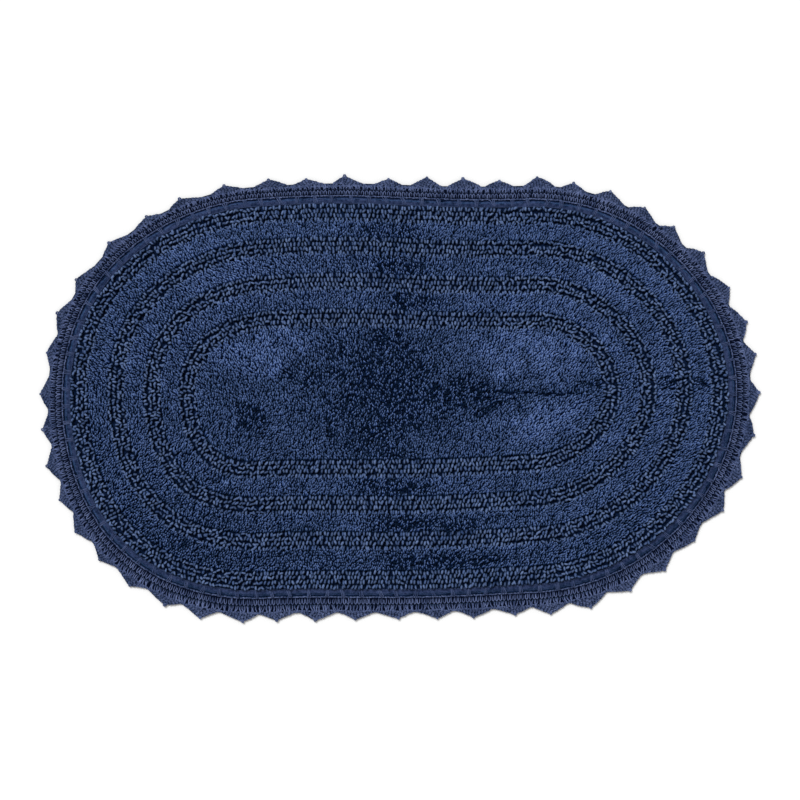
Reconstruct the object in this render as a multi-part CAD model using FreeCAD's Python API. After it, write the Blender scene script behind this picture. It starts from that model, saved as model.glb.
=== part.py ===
"""Oval cotton bath mat with a crocheted edge.

A woven ground cloth carries rings of yarn: four rings of looped pile, with three rings
and a middle field of cut pile between them, and the stitches of the same yarns on the
underside. A woven tape is folded over the cloth's edge and sewn through. A crocheted
lace runs round the tape: a foundation chain, two header rows, and a row of points with
a small picot knot on each tip. Crocheted bars tie the lace over the tape.

Every outline is a racetrack oval: two straight sides joined by two half circles.
The origin is under the middle of the mat, +X along its length, +Z up, millimetres.
"""

import FreeCAD, Part

import math
import os

# Overall sizes, tip to tip over the lace points
OVERALL_LENGTH = 864.0
OVERALL_WIDTH = 533.0

# Heights, from the floor up
BACK_HEIGHT = 2.5  # stitches under the ground cloth
CLOTH_THICKNESS = 1.5
LOOP_HEIGHT = 7.0  # looped pile above the cloth
PLUSH_HEIGHT = 8.0  # cut pile above the cloth
PILE_ROUNDING = 2.0  # the soft upper edge of a pile ring

# Pile rings, from the outside inwards: loop, plush, loop, plush, loop, plush, loop
LOOP_RING_WIDTH = 21.8
PLUSH_RING_WIDTH = 21.7
LOOP_RING_COUNT = 4

# Hand work lies off centre: the cloth in its lace, and the inner rings on the cloth
CLOTH_OFFSET_X = 0.5
CLOTH_OFFSET_Y = 3.0
INNER_RINGS_OFFSET_X = 1.0
INNER_RINGS_OFFSET_Y = 3.5

# Binding tape, a U over the edge of the cloth, and its seam
TAPE_WIDTH = 9.8
TAPE_THICKNESS = 0.8
TAPE_ROUNDING = 0.5
SEAM_INSET = 1.0  # middle of the seam from the tape's inner edge
THREAD_DIAMETER = 0.7

# Crocheted lace
CHAIN_DIAMETER = 2.6
HEADER_WIDTH = 10.5  # both header rows together, averaged round the mat
HEADER_THICKNESS = 2.4
POINT_COUNT = 49
POINT_DEPTH = 8.5  # from the header to the seat of the picot
POINT_THICKNESS = 2.0
POINT_HOLLOW = 0.8  # how far a point's two sides are drawn in
POINT_SHIFT = -0.3  # where the first point starts, in points' widths round from the +X end
POINT_DRIFT = 0.25  # how far the points wander on the ends and back on the sides
PICOT_DIAMETER = 2.8

# Crocheted bars that tie the lace over the tape
BAR_COUNT = 101
BAR_WIDTH = 3.6
BAR_THICKNESS = 0.8
BAR_ROUNDING = 0.5

# Room between neighbouring soft pieces
CLEARANCE = 0.3

# Worked out from the sizes above
STRAIGHT_HALF = (OVERALL_LENGTH - OVERALL_WIDTH) / 2
TIP_REACH = OVERALL_WIDTH / 2
TIP_SEAT_REACH = TIP_REACH - PICOT_DIAMETER - CLEARANCE / 2
VALLEY_REACH = TIP_SEAT_REACH - POINT_DEPTH
HEADER_REACH = VALLEY_REACH - CLEARANCE / 2
CHAIN_REACH = HEADER_REACH - HEADER_WIDTH - CLEARANCE
TAPE_REACH = CHAIN_REACH - CHAIN_DIAMETER - CLEARANCE
PILE_REACH = TAPE_REACH - TAPE_WIDTH
CLOTH_REACH = TAPE_REACH - TAPE_THICKNESS - CLEARANCE

CLOTH_BOTTOM = BACK_HEIGHT
CLOTH_TOP = CLOTH_BOTTOM + CLOTH_THICKNESS
CLOTH_MIDDLE = CLOTH_BOTTOM + CLOTH_THICKNESS / 2
TAPE_TOP = CLOTH_TOP + TAPE_THICKNESS

LACE_CENTRE = FreeCAD.Vector(0, 0, 0)
CLOTH_CENTRE = FreeCAD.Vector(CLOTH_OFFSET_X, CLOTH_OFFSET_Y, 0)
INNER_CENTRE = CLOTH_CENTRE + FreeCAD.Vector(INNER_RINGS_OFFSET_X, INNER_RINGS_OFFSET_Y, 0)
UP = FreeCAD.Vector(0, 0, 1)


def oval_point(reach, share, centre=LACE_CENTRE):
    """The point at a share of the way round an oval, and the outward direction there.

    Shares are measured along the tape's outer edge, so pieces that are evenly spaced
    on the tape fan out round the ends. Share 0 is the middle of the +X end.
    """
    quarter_turn = math.pi / 2 * TAPE_REACH
    straight = 2 * STRAIGHT_HALF
    along = (share % 1.0) * (4 * quarter_turn + 2 * straight)
    if along < quarter_turn:
        middle, angle = STRAIGHT_HALF, along / TAPE_REACH
    elif along < quarter_turn + straight:
        middle, angle = STRAIGHT_HALF - (along - quarter_turn), math.pi / 2
    elif along < 3 * quarter_turn + straight:
        middle, angle = -STRAIGHT_HALF, (along - straight) / TAPE_REACH
    elif along < 3 * quarter_turn + 2 * straight:
        middle, angle = along - 3 * quarter_turn - straight - STRAIGHT_HALF, math.pi * 3 / 2
    else:
        middle, angle = STRAIGHT_HALF, (along - 2 * straight) / TAPE_REACH
    outward = FreeCAD.Vector(math.cos(angle), math.sin(angle), 0)
    return centre + FreeCAD.Vector(middle, 0, 0) + outward * reach, outward


def oval_wire(reach, z, centre=LACE_CENTRE):
    """A racetrack outline: two straight sides and two half circles of radius reach."""
    right = centre + FreeCAD.Vector(STRAIGHT_HALF, 0, z)
    left = centre + FreeCAD.Vector(-STRAIGHT_HALF, 0, z)
    across = FreeCAD.Vector(0, reach, 0)
    outward = FreeCAD.Vector(reach, 0, 0)
    return Part.Wire(
        [
            Part.Arc(right - across, right + outward, right + across).toShape(),
            Part.LineSegment(right + across, left + across).toShape(),
            Part.Arc(left + across, left - outward, left - across).toShape(),
            Part.LineSegment(left - across, right - across).toShape(),
        ]
    )


def oval_plate(reach, bottom, top, centre=LACE_CENTRE):
    return Part.Face(oval_wire(reach, bottom, centre)).extrude(UP * (top - bottom))


def rounded_plate(reach, bottom, top, centre):
    """A plate whose upper rim is rounded, as pile is where it ends."""
    plate = oval_plate(reach, bottom, top, centre)
    rim = [e for e in plate.Edges if min(v.Z for v in e.Vertexes) > top - PILE_ROUNDING / 4]
    return plate.makeFillet(PILE_ROUNDING, rim)


def oval_cord(reach, z, diameter, centre):
    """A round cord that lies along an oval."""
    path = oval_wire(reach, z, centre)
    start = centre + FreeCAD.Vector(STRAIGHT_HALF, -reach, z)
    section = Part.Wire([Part.makeCircle(diameter / 2, start, FreeCAD.Vector(1, 0, 0))])
    return path.makePipeShell([section], True, False)


def ring_edges():
    """(reach, centre) of every boundary between pile rings, from the outside in.

    The outer plush ring takes up the inner rings' offset, so it is uneven in width.
    """
    edges = [(PILE_REACH, CLOTH_CENTRE), (PILE_REACH - LOOP_RING_WIDTH, CLOTH_CENTRE)]
    for _ in range(LOOP_RING_COUNT - 1):
        edges.append((edges[-1][0] - PLUSH_RING_WIDTH, INNER_CENTRE))
        edges.append((edges[-1][0] - LOOP_RING_WIDTH, INNER_CENTRE))
    return edges


def ring_names():
    """The rings' names in the same order: a loop ring, then a plush ring, and so on."""
    numbers = range(1, LOOP_RING_COUNT + 1)
    names = [f"{kind}_ring_{number}" for number in numbers for kind in ("loop", "plush")]
    return names[:-1]


def make_pile():
    """Each ring of pile on the cloth, and the flat stitches of its yarns underneath."""
    parts = {}
    edges = ring_edges()
    for name, (outer, outer_centre), (inner, inner_centre) in zip(
        ring_names(), edges, edges[1:]
    ):
        height = LOOP_HEIGHT if name.startswith("loop") else PLUSH_HEIGHT
        top = CLOTH_TOP + height
        face = rounded_plate(outer - CLEARANCE, CLOTH_TOP, top, outer_centre)
        parts[name] = face.cut(oval_plate(inner, CLOTH_TOP, top, inner_centre))
        back = oval_plate(outer - CLEARANCE, 0, BACK_HEIGHT, outer_centre)
        parts[name + "_back"] = back.cut(oval_plate(inner, 0, BACK_HEIGHT, inner_centre))
    reach, centre = edges[-1]
    top = CLOTH_TOP + PLUSH_HEIGHT
    parts["middle_plush"] = rounded_plate(reach - CLEARANCE, CLOTH_TOP, top, centre)
    parts["middle_plush_back"] = oval_plate(reach - CLEARANCE, 0, BACK_HEIGHT, centre)
    return parts


def make_ground_cloth():
    return oval_plate(CLOTH_REACH, CLOTH_BOTTOM, CLOTH_TOP, CLOTH_CENTRE)


def make_binding_tape():
    """A U over the cloth's edge: an upper and a lower leg joined by the fold outside."""
    bottom = CLOTH_BOTTOM - TAPE_THICKNESS
    block = oval_plate(TAPE_REACH, bottom, TAPE_TOP, CLOTH_CENTRE)
    block = block.makeFillet(TAPE_ROUNDING, [e for e in block.Edges if is_flat(e)])
    slot = oval_plate(CLOTH_REACH + CLEARANCE, CLOTH_BOTTOM, CLOTH_TOP, CLOTH_CENTRE)
    hole = oval_plate(PILE_REACH, bottom, TAPE_TOP, CLOTH_CENTRE)
    return block.cut(slot).cut(hole)


def is_flat(edge):
    """Whether an edge lies level, as the rims of a plate do."""
    return edge.BoundBox.ZLength < CLEARANCE


def make_seam_threads():
    """The seam's needle thread lies on the upper leg, and its bobbin thread under the lower."""
    reach = PILE_REACH + SEAM_INSET
    above = TAPE_TOP + THREAD_DIAMETER / 2
    below = CLOTH_BOTTOM - TAPE_THICKNESS - THREAD_DIAMETER / 2
    return {
        "needle_thread": oval_cord(reach, above, THREAD_DIAMETER, CLOTH_CENTRE),
        "bobbin_thread": oval_cord(reach, below, THREAD_DIAMETER, CLOTH_CENTRE),
    }


def make_foundation_chain():
    reach = CHAIN_REACH - CHAIN_DIAMETER / 2
    return oval_cord(reach, CLOTH_MIDDLE, CHAIN_DIAMETER, CLOTH_CENTRE)


def make_header_rows():
    """Two rows of stitches, which take up the cloth's offset between chain and points."""
    bottom = CLOTH_MIDDLE - HEADER_THICKNESS / 2
    top = bottom + HEADER_THICKNESS
    halfway = CHAIN_REACH + CLEARANCE + HEADER_WIDTH / 2
    inside = oval_plate(CHAIN_REACH + CLEARANCE, bottom, top, CLOTH_CENTRE)
    between = oval_plate(halfway, bottom, top, CLOTH_CENTRE * 0.5)
    parting = oval_plate(halfway - CLEARANCE, bottom, top, CLOTH_CENTRE * 0.5)
    outside = oval_plate(HEADER_REACH, bottom, top, LACE_CENTRE)
    return {"header_row_1": parting.cut(inside), "header_row_2": outside.cut(between)}


def point_share(number):
    """Where a point's middle lies round the mat; number may fall between two points."""
    turn = 2 * math.pi * number / POINT_COUNT
    return (number + POINT_SHIFT + POINT_DRIFT * math.cos(2 * turn)) / POINT_COUNT


def make_lace_points():
    """One toothed plate, cut by the header's outline into separate points."""
    bottom = CLOTH_MIDDLE - POINT_THICKNESS / 2
    top = bottom + POINT_THICKNESS
    seat_half = PICOT_DIAMETER * 0.4
    hollow_reach = (VALLEY_REACH + TIP_SEAT_REACH) / 2 - POINT_HOLLOW
    edges = []
    for number in range(POINT_COUNT):
        valley, _ = oval_point(VALLEY_REACH, point_share(number - 0.5))
        hollow_in, _ = oval_point(hollow_reach, point_share(number - 0.25))
        tip, outward = oval_point(TIP_SEAT_REACH, point_share(number))
        hollow_out, _ = oval_point(hollow_reach, point_share(number + 0.25))
        next_valley, _ = oval_point(VALLEY_REACH, point_share(number + 0.5))
        along = UP.cross(outward) * seat_half
        edges.append(Part.Arc(valley, hollow_in, tip - along).toShape())
        edges.append(Part.LineSegment(tip - along, tip + along).toShape())
        edges.append(Part.Arc(tip + along, hollow_out, next_valley).toShape())
    outline = Part.Wire(edges)
    outline.translate(UP * bottom)
    toothed = Part.Face(outline).extrude(UP * POINT_THICKNESS)
    return toothed.cut(oval_plate(VALLEY_REACH + CLEARANCE / 2, bottom, top, LACE_CENTRE))


def make_picots():
    knots = []
    for number in range(POINT_COUNT):
        reach = TIP_REACH - PICOT_DIAMETER / 2
        place, _ = oval_point(reach, point_share(number))
        knots.append(Part.makeSphere(PICOT_DIAMETER / 2, place + UP * CLOTH_MIDDLE))
    return Part.makeCompound(knots)


def make_crochet_bars():
    """Short bars that lie straight across the tape, from its seam to the header."""
    start = PILE_REACH + SEAM_INSET + THREAD_DIAMETER / 2 + CLEARANCE
    length = CHAIN_REACH - start
    bars = []
    for number in range(BAR_COUNT):
        place, outward = oval_point(start, (number + 0.5) / BAR_COUNT, CLOTH_CENTRE)
        bar = Part.makeBox(length, BAR_WIDTH, BAR_THICKNESS)
        ridges = [e for e in bar.Edges if is_upper_long_edge(e, length)]
        bar = bar.makeFillet(BAR_ROUNDING, ridges)
        bar.translate(FreeCAD.Vector(0, -BAR_WIDTH / 2, TAPE_TOP))
        turn = math.degrees(math.atan2(outward.y, outward.x))
        bar.rotate(FreeCAD.Vector(0, 0, 0), UP, turn)
        bar.translate(place)
        bars.append(bar)
    return Part.makeCompound(bars)


def is_upper_long_edge(edge, length):
    return edge.BoundBox.ZMin > BAR_THICKNESS / 2 and edge.BoundBox.XLength > length / 2


def all_parts():
    parts = make_pile()
    parts["ground_cloth"] = make_ground_cloth()
    parts["binding_tape"] = make_binding_tape()
    parts.update(make_seam_threads())
    parts["foundation_chain"] = make_foundation_chain()
    parts.update(make_header_rows())
    parts["lace_points"] = make_lace_points()
    parts["picots"] = make_picots()
    parts["crochet_bars"] = make_crochet_bars()
    return parts


os.makedirs("parts", exist_ok=True)
for node, shape in all_parts().items():
    solids = shape.Solids
    whole = solids[0] if len(solids) == 1 else Part.makeCompound(solids)
    print(f"{node}: {len(solids)} solid(s), {whole.Volume / 1000:.1f} cm3, valid {whole.isValid()}")
    whole.exportStep(f"parts/{node}.step")
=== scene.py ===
"""Oval cotton bath mat with a crocheted edge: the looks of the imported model.

Every yarn is a small closed shape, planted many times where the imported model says: standing
loops, cut yarn ends, the stitches underneath, and the stitches of the crochet. The whole mat
is then moved a little, as handwork wanders. Metres, with the origin under the middle of the
mat, +X along its length and +Z up.
"""

import math
import random

import bmesh
import bpy
import numpy as np
from mathutils import Matrix, Vector, noise


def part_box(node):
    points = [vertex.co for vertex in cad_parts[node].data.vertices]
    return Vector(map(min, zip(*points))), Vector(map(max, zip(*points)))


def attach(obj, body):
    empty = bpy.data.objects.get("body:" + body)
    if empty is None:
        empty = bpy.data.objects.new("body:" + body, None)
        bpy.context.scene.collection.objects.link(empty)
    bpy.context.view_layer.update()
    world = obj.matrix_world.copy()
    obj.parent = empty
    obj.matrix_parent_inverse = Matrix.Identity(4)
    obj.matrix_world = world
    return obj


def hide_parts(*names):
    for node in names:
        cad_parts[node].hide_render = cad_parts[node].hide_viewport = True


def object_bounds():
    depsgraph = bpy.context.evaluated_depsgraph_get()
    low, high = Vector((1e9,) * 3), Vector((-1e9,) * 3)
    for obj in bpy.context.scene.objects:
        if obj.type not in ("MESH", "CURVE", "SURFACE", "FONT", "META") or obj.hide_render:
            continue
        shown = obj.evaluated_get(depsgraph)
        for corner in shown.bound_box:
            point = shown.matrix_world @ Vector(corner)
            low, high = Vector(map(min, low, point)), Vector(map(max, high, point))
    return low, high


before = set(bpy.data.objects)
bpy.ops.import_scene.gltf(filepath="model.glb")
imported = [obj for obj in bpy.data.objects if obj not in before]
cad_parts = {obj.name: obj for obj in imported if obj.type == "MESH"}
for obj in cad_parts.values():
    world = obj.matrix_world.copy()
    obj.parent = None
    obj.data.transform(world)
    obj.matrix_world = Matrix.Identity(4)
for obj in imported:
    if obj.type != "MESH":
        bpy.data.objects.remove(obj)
cad_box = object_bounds()

MM = 0.001
FULL_TURN = 2 * math.pi
UP = Vector((0, 0, 1))

# Pile
LOOP_HEIGHT = 7 * MM
LOOP_YARN = 2.7 * MM  # thickness of the yarn that stands in loops
LOOP_SPAN = 6.5 * MM  # a loop from side to side, across its ring
LOOP_PITCH = 4.3 * MM  # from loop to loop along a row
LOOP_ROWS = 4
CUT_HEIGHT = 8 * MM
CUT_YARN = 2.05 * MM
CUT_ENDS = ((0.6, 1.0), (1.1, 1.15), (1.6, 0.9), (0.9, 0.75))  # droop in mm, and how far it opens
CUT_PITCH = 2.65 * MM
COMB_MIDDLE = 1.53  # the pile is combed up and down at the middle, in radians from +X
COMB_SLANT = 2.1  # and slants more towards the ends, in radians per metre
BACK_PITCH = 5.2 * MM
BACK_YARN = 4 * MM

# Crochet
LACE_YARN = 1.45 * MM
STITCH = 4.5 * MM  # from stitch to stitch along a row of crochet
CURL_WIDTH = 3.9 * MM
TAPE_DRAWN_IN = 1.8 * MM  # the tape's edge under the pull of the crochet
GROOVE = 1.45 * MM  # the gap between tape and lace, dark with shade and with the painted shade of the chain's body under it
CHAIN_WIDTH = 1.7 * MM
PICOT_YARN = 1.7 * MM
POST_SPREAD = 0.6 * MM  # how far the two strands of a post part
POST_YARN = 1.4 * MM
LINK_SPREAD = 0.55 * MM
LINK_YARN = 1.15 * MM
LACE_RELAXED = 2.6 * MM  # how far the lace lies out of the place it was made in
POINT_COUNT = 49
POINT_SHIFT = -0.38  # where the first point starts, in points' widths
POINT_DRIFTS = ((1, 0.09, -2.1), (2, 0.25, -0.26), (3, 0.08, 2.37), (4, 0.06, -0.38))
POSTS_IN_POINT = 16
LINKS_IN_POINT = 13
LINK_ROW = 2.0 * MM  # from row to row of links inside a point
BLUNT_TIP = 0.93  # where a point stops rising, as a share of its sharp height
BAR_COUNT = 101
BAR_YARN = 1.05 * MM
BAR_LIFT = 0.2 * MM  # how far the bars lie over the tape
SEAM_STITCH = 3.0 * MM
SEAM_YARN = 0.7 * MM

# How the edge wanders from a true oval: waves round the mat, height, where a crest lies
WANDER = (
    (3, 2.6 * MM, -0.35),
    (4, 2.1 * MM, 1.0),
    (5, 1.25 * MM, 0.05),
    (6, 1.3 * MM, -2.2),
    (7, 1.0 * MM, 0.45),
)
CLOTH_WANDER = ((1, 1.5 * MM, -2.3), (2, 1.6 * MM, -0.9))
LACE_WANDER = ((1, 0.6 * MM, -2.8), (2, 1.55 * MM, 0.1))
WANDER_FADE = 110 * MM  # the wandering dies out inside this reach

# Picture
LENS = 90
SENSOR = 36
VIEW_TURN = -0.0288  # how far the picture is turned against the mat
VIEW_WIDTH = 967.6 * MM  # what the picture's width shows, at the level of the pile's tips
VIEW_LEVEL = 8 * MM
VIEW_CENTRE = (4.8 * MM, -1.1 * MM)  # the picture's middle, along its own right and up
FILL_LIGHT = 0.74
KEY_LIGHT = 3.74
KEY_FROM = Vector((-0.65, 1.2, 2.0))
KEY_SPREAD = 0.45


def clamp(value, low=0.0, high=1.0):
    return max(low, min(high, value))


class Oval:
    """A racetrack outline: a half circle at each end, joined by two straight sides."""

    def __init__(self, centre, straight_half, reach):
        self.centre = Vector((centre.x, centre.y, 0))
        self.straight_half = straight_half
        self.reach = reach

    def inset(self, by):
        return Oval(self.centre, self.straight_half, self.reach - by)

    def towards(self, other, part):
        """The oval that lies part of the way from this one to another."""
        reach = self.reach + (other.reach - self.reach) * part
        return Oval(self.centre.lerp(other.centre, part), self.straight_half, reach)

    def length(self):
        return 4 * self.straight_half + FULL_TURN * self.reach

    def at(self, share, ruler=None):
        """The point at a share of the way round from the +X end, and the outward direction.

        Shares are measured along this outline, or along the one given as ruler.
        """
        ruler = ruler or self
        quarter = FULL_TURN / 4 * ruler.reach
        straight = 2 * ruler.straight_half
        along = share % 1 * ruler.length()
        if along < quarter:
            middle, turn = self.straight_half, along / ruler.reach
        elif along < quarter + straight:
            middle, turn = self.straight_half - (along - quarter), FULL_TURN / 4
        elif along < 3 * quarter + straight:
            middle, turn = -self.straight_half, (along - straight) / ruler.reach
        elif along < 3 * quarter + 2 * straight:
            middle = along - 3 * quarter - straight - self.straight_half
            turn = FULL_TURN * 3 / 4
        else:
            middle, turn = self.straight_half, (along - 2 * straight) / ruler.reach
        outward = Vector((math.cos(turn), math.sin(turn), 0))
        return self.centre + Vector((middle, 0, 0)) + outward * self.reach, outward


def outline_of(node):
    """The outer outline of a CAD node, from its box."""
    low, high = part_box(node)
    reach = (high.y - low.y) / 2
    return Oval((low + high) / 2, (high.x - low.x) / 2 - reach, reach)


TAPE = outline_of("binding_tape")
CLOTH_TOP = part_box("ground_cloth")[1].z
CLOTH_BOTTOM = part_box("ground_cloth")[0].z
LACE_LEVEL = (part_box("lace_points")[0].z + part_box("lace_points")[1].z) / 2
LACE_WIDTH = outline_of("lace_points").reach - TAPE.reach


# ---------------------------------------------------------------- small yarn shapes


def next_ring(shape, edges):
    """Extrudes a ring of edges where it lies: the new ring's points, and its edges."""
    made = bmesh.ops.extrude_edge_only(shape, edges=edges)["geom"]
    verts = [g for g in made if isinstance(g, bmesh.types.BMVert)]
    edges = [g for g in made if isinstance(g, bmesh.types.BMEdge) and g.is_boundary]
    return verts, [e for e in edges if e.verts[0] in verts and e.verts[1] in verts]


def mesh_of(shape, name):
    """The mesh of a shape that is finished."""
    mesh = bpy.data.meshes.new(name)
    shape.to_mesh(mesh)
    shape.free()
    return mesh


def thickened(shape, face_list, up):
    """Raises faces into a solid that is closed all round, and turns its faces outward."""
    made = bmesh.ops.extrude_face_region(shape, geom=face_list, use_keep_orig=True)["geom"]
    top = [g for g in made if isinstance(g, bmesh.types.BMVert)]
    bmesh.ops.translate(shape, verts=top, vec=UP * up)
    bmesh.ops.recalc_face_normals(shape, faces=shape.faces[:])
    return shape


def yarn(points, radii, sides=5):
    """A closed round yarn through a few points: a circle extruded from one to the next."""
    shape = bmesh.new()
    around = shape.verts.layers.float.new("around")
    along = shape.verts.layers.float.new("along")
    bmesh.ops.create_circle(shape, segments=sides, radius=1)
    for number, vert in enumerate(shape.verts):
        vert[around] = number / sides
    verts, edges = shape.verts[:], shape.edges[:]
    placed = Matrix.Identity(4)
    run = 0.0
    for number, (point, radius) in enumerate(zip(points, radii)):
        if number:
            verts, edges = next_ring(shape, edges)
            run += (point - points[number - 1]).length
        ahead = points[min(number + 1, len(points) - 1)] - points[max(number - 1, 0)]
        turn = ahead.to_track_quat("Z", "Y").to_matrix().to_4x4()
        place = Matrix.Translation(point) @ turn @ Matrix.Scale(radius, 4)
        bmesh.ops.transform(shape, matrix=place @ placed.inverted(), verts=verts)
        placed = place
        for vert in verts:
            vert[along] = run
    open_edges = [e for e in shape.edges if e.is_boundary]
    bmesh.ops.holes_fill(shape, edges=open_edges, sides=0)
    bmesh.ops.recalc_face_normals(shape, faces=shape.faces[:])
    unroll(shape, around, along)
    return shape


def unroll(shape, around, along):
    """Lays a yarn's surface out flat: once round it is 1 wide, and millimetres are the length."""
    flat = shape.loops.layers.uv.new("Yarn")
    for face in shape.faces:
        wraps = max(v[around] for v in face.verts) - min(v[around] for v in face.verts) > 0.5
        for corner in face.loops:
            turn = corner.vert[around]
            turn += 1 if wraps and turn < 0.5 else 0
            corner[flat].uv = (turn, corner.vert[along] / MM)


def joined(*shapes):
    """Several shapes as one."""
    whole = bmesh.new()
    for shape in shapes:
        mesh = mesh_of(shape, "part")
        whole.from_mesh(mesh)
        bpy.data.meshes.remove(mesh)
    return whole


class Template:
    """A small yarn shape that is planted many times."""

    def __init__(self, shape):
        self.mesh = mesh_of(shape, "template")
        self.rest = np.empty(len(self.mesh.vertices) * 3, np.float32)
        self.mesh.vertices.foreach_get("co", self.rest)

    def plant(self, piece, place):
        self.mesh.transform(place)
        piece.from_mesh(self.mesh)
        self.mesh.vertices.foreach_set("co", self.rest)


def strand(path, scale, width, swell, sides=5):
    """A yarn through a path: its points are shares of scale, and its thicknesses of width."""
    points = [Vector([share * size for share, size in zip(spot, scale)]) for spot in path]
    return yarn(points, [width / 2 * share for share in swell], sides)


def standing_loop():
    """A flat-topped loop of yarn that spans X, with both feet in the cloth."""
    side = ((0.6, 0, 0), (1, 0, 0.55), (1, 0, 0.88), (0.55, 0, 1))
    path = [(-x, y, z) for x, y, z in side] + list(reversed(side))
    scale = ((LOOP_SPAN - LOOP_YARN) / 2, 0, LOOP_HEIGHT - LOOP_YARN / 2)
    swell = (0.6, 0.85, 1.0, 1.05)
    return Template(strand(path, scale, LOOP_YARN, swell + swell[::-1]))


def cut_end(droop, fray):
    """A cut end of yarn that droops at its tip, and opens there."""
    path = ((0, 0, 0), (0.2, 0, 0.5), (0.7, 0, 0.82), (1.25, 0, 1))
    return Template(strand(path, (droop, 0, CUT_HEIGHT), CUT_YARN, (0.62, 0.95, fray, 0.4), sides=4))


def back_stitch():
    """A flat running stitch under the cloth, 1 pitch long."""
    path = ((-0.5, 0, 0), (0, 0, 0), (0.5, 0, 0))
    shape = strand(path, (BACK_PITCH, 0, 0), BACK_YARN, (0.55, 1.05, 0.55), sides=4)
    turned = Matrix.Rotation(FULL_TURN / 8, 3, "X")
    bmesh.ops.rotate(shape, cent=(0, 0, 0), matrix=turned, verts=shape.verts)
    return Template(shape)


def twisted_pair(length, spread, width):
    """Two strands that lie side by side along X and cross once: the post of a stitch."""
    strands = []
    for side in (1, -1):
        path = ((-0.5, -0.7 * side, 0), (-1 / 6, -side, 0.2 * side))
        path += ((1 / 6, side, 0.2 * side), (0.5, 0.7 * side, 0))
        strands.append(strand(path, (length, spread, width), width, (0.7, 1, 1, 0.7)))
    return joined(*strands)


def chain_link(length, spread, width):
    """The two legs of a chain stitch: from one point they part, and close on the next."""
    legs = []
    for side in (1, -1):
        path = ((-0.62, 0.15 * side, -0.25), (-0.2, side, 0), (0.2, 0.95 * side, 0.15))
        path += ((0.55, 0.4 * side, 0),)
        legs.append(strand(path, (length, spread, width), width, (0.6, 1, 1, 0.75)))
    return joined(*legs)


def straight_strand(length, rise, width):
    """One strand along X whose two ends dip."""
    path = ((-0.5, 0, -1), (-0.36, 0, 0), (0.36, 0, 0), (0.5, 0, -1))
    return strand(path, (length, 0, rise), width, (0.8, 1, 1, 0.8))


def curl(length, breadth, width, tuck):
    """A raised stitch: a strand that runs out along X, curls round, and tucks back in."""
    path = ((-0.5, -0.26, -0.3), (-0.15, -0.36, 0), (0.2, -0.33, 0.15), (0.42, -0.04, 0.2))
    path += ((0.26, 0.32, 0.15), (-0.06, 0.36, 0), (-0.46, tuck, -0.35))
    return strand(path, (length, breadth, width), width, (0.75, 1, 1, 1.08, 1, 1, 0.7))


def picot():
    """A loop of yarn drawn into a blunt knot: once round, and a strand tied over its foot."""
    scale = [PICOT_YARN] * 3
    path = ((-0.5, -0.5, 0), (0.35, -0.72, 0), (1.05, -0.3, 0.1))
    path += ((1.05, 0.35, 0.1), (0.35, 0.72, 0), (-0.5, 0.4, 0))
    loop = strand(path, scale, PICOT_YARN, (0.8, 1, 1.05, 1.05, 1, 0.8))
    tie = [(-0.35, y, 0.35 - abs(y) * 0.4) for y in (-1.0, -0.35, 0.35, 1.0)]
    return Template(joined(loop, strand(tie, scale, PICOT_YARN, (0.6, 0.8, 0.8, 0.6))))


# ---------------------------------------------------------------- the pile's lie


def at_mat(x, y):
    """A place on the mat, from millimetres."""
    return Vector((x, y, 0)) * MM


# Where the pile lies pressed or combed another way, painted darker or brighter as the shade and
# highlight its lie gets: middle, half sizes, how much darker or brighter (mm)
LIE_AND_SHADE_PATCHES = (
    (at_mat(-15, 8), (76, 72), -0.9),
    (at_mat(98, 0), (44, 24), -0.9),
    (at_mat(-112, 29), (34, 12), -0.6),
    (at_mat(-175, -22), (17, 17), -0.9),
    (at_mat(0, 200), (42, 10), -0.8),
    (at_mat(10, 163), (48, 11), -0.8),
    (at_mat(20, 117), (42, 11), -0.8),
    (at_mat(-7, -107), (56, 9), -0.9),
    (at_mat(42, -152), (76, 10), -0.9),
    (at_mat(60, -197), (80, 8), -0.9),
    (at_mat(0, 0), (26, 250), -0.3),
    (at_mat(318, 9), (104, 7), -0.8),
    (at_mat(170, 58), (84, 36), 0.8),
    (at_mat(174, -37), (56, 26), 0.75),
    (at_mat(-154, 58), (48, 30), 0.85),
    (at_mat(-215, 150), (75, 40), 0.35),
    (at_mat(200, 130), (95, 28), 0.35),
    (at_mat(-230, -150), (120, 70), -0.25),
)

# Where the mat lay folded and the pile parts, lower and painted darker as shade: from, to, half width
# of the parting, how deep
CREASES = (
    (at_mat(118, 4), at_mat(218, -1), 1.3 * MM, 1.0),
    (at_mat(-12, -225), at_mat(-14, 235), 0.8 * MM, 0.5),
    (at_mat(8, -225), at_mat(4, 235), 0.7 * MM, 0.4),
)


def field(place, size, seed):
    """Slow noise from -1 to 1 with features about so large."""
    return noise.noise(Vector((place.x / size, place.y / size, seed)))


def pile_lie_and_shade(place):
    """How the pile lies at a place, and how much painted shade or painted highlight it gets there: -1
    is darkest, 1 brightest, 0 usual.
    """
    ragged = Vector((field(place, 11 * MM, 3.0), field(place, 11 * MM, 9.0), 0)) * 11 * MM
    slow = Vector((field(place, 35 * MM, 3.0), field(place, 35 * MM, 9.0), 0)) * 20 * MM
    tone = 0.0
    for middle, (half_x, half_y), strength in LIE_AND_SHADE_PATCHES:
        away = place + (ragged + slow) * min(1.0, half_y / 30) - middle
        far = (away.x / (half_x * MM)) ** 2 + (away.y / (half_y * MM)) ** 2
        tone += strength * math.exp(-far * far)
    tone *= max(0.0, 1 + 1.4 * field(place, 15 * MM, 12.0))
    tone += 0.25 * field(place, 38 * MM, 1.0) + 0.45 * field(place, 9 * MM, 2.0)
    return clamp(tone, -1.0)


def comb(place):
    """The way the pile is combed at a place, as a turn from +X."""
    side = 1.0 if place.x > 0 else -math.tanh(place.y / (40 * MM))
    return COMB_MIDDLE - COMB_SLANT * abs(place.x) * side


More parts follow.
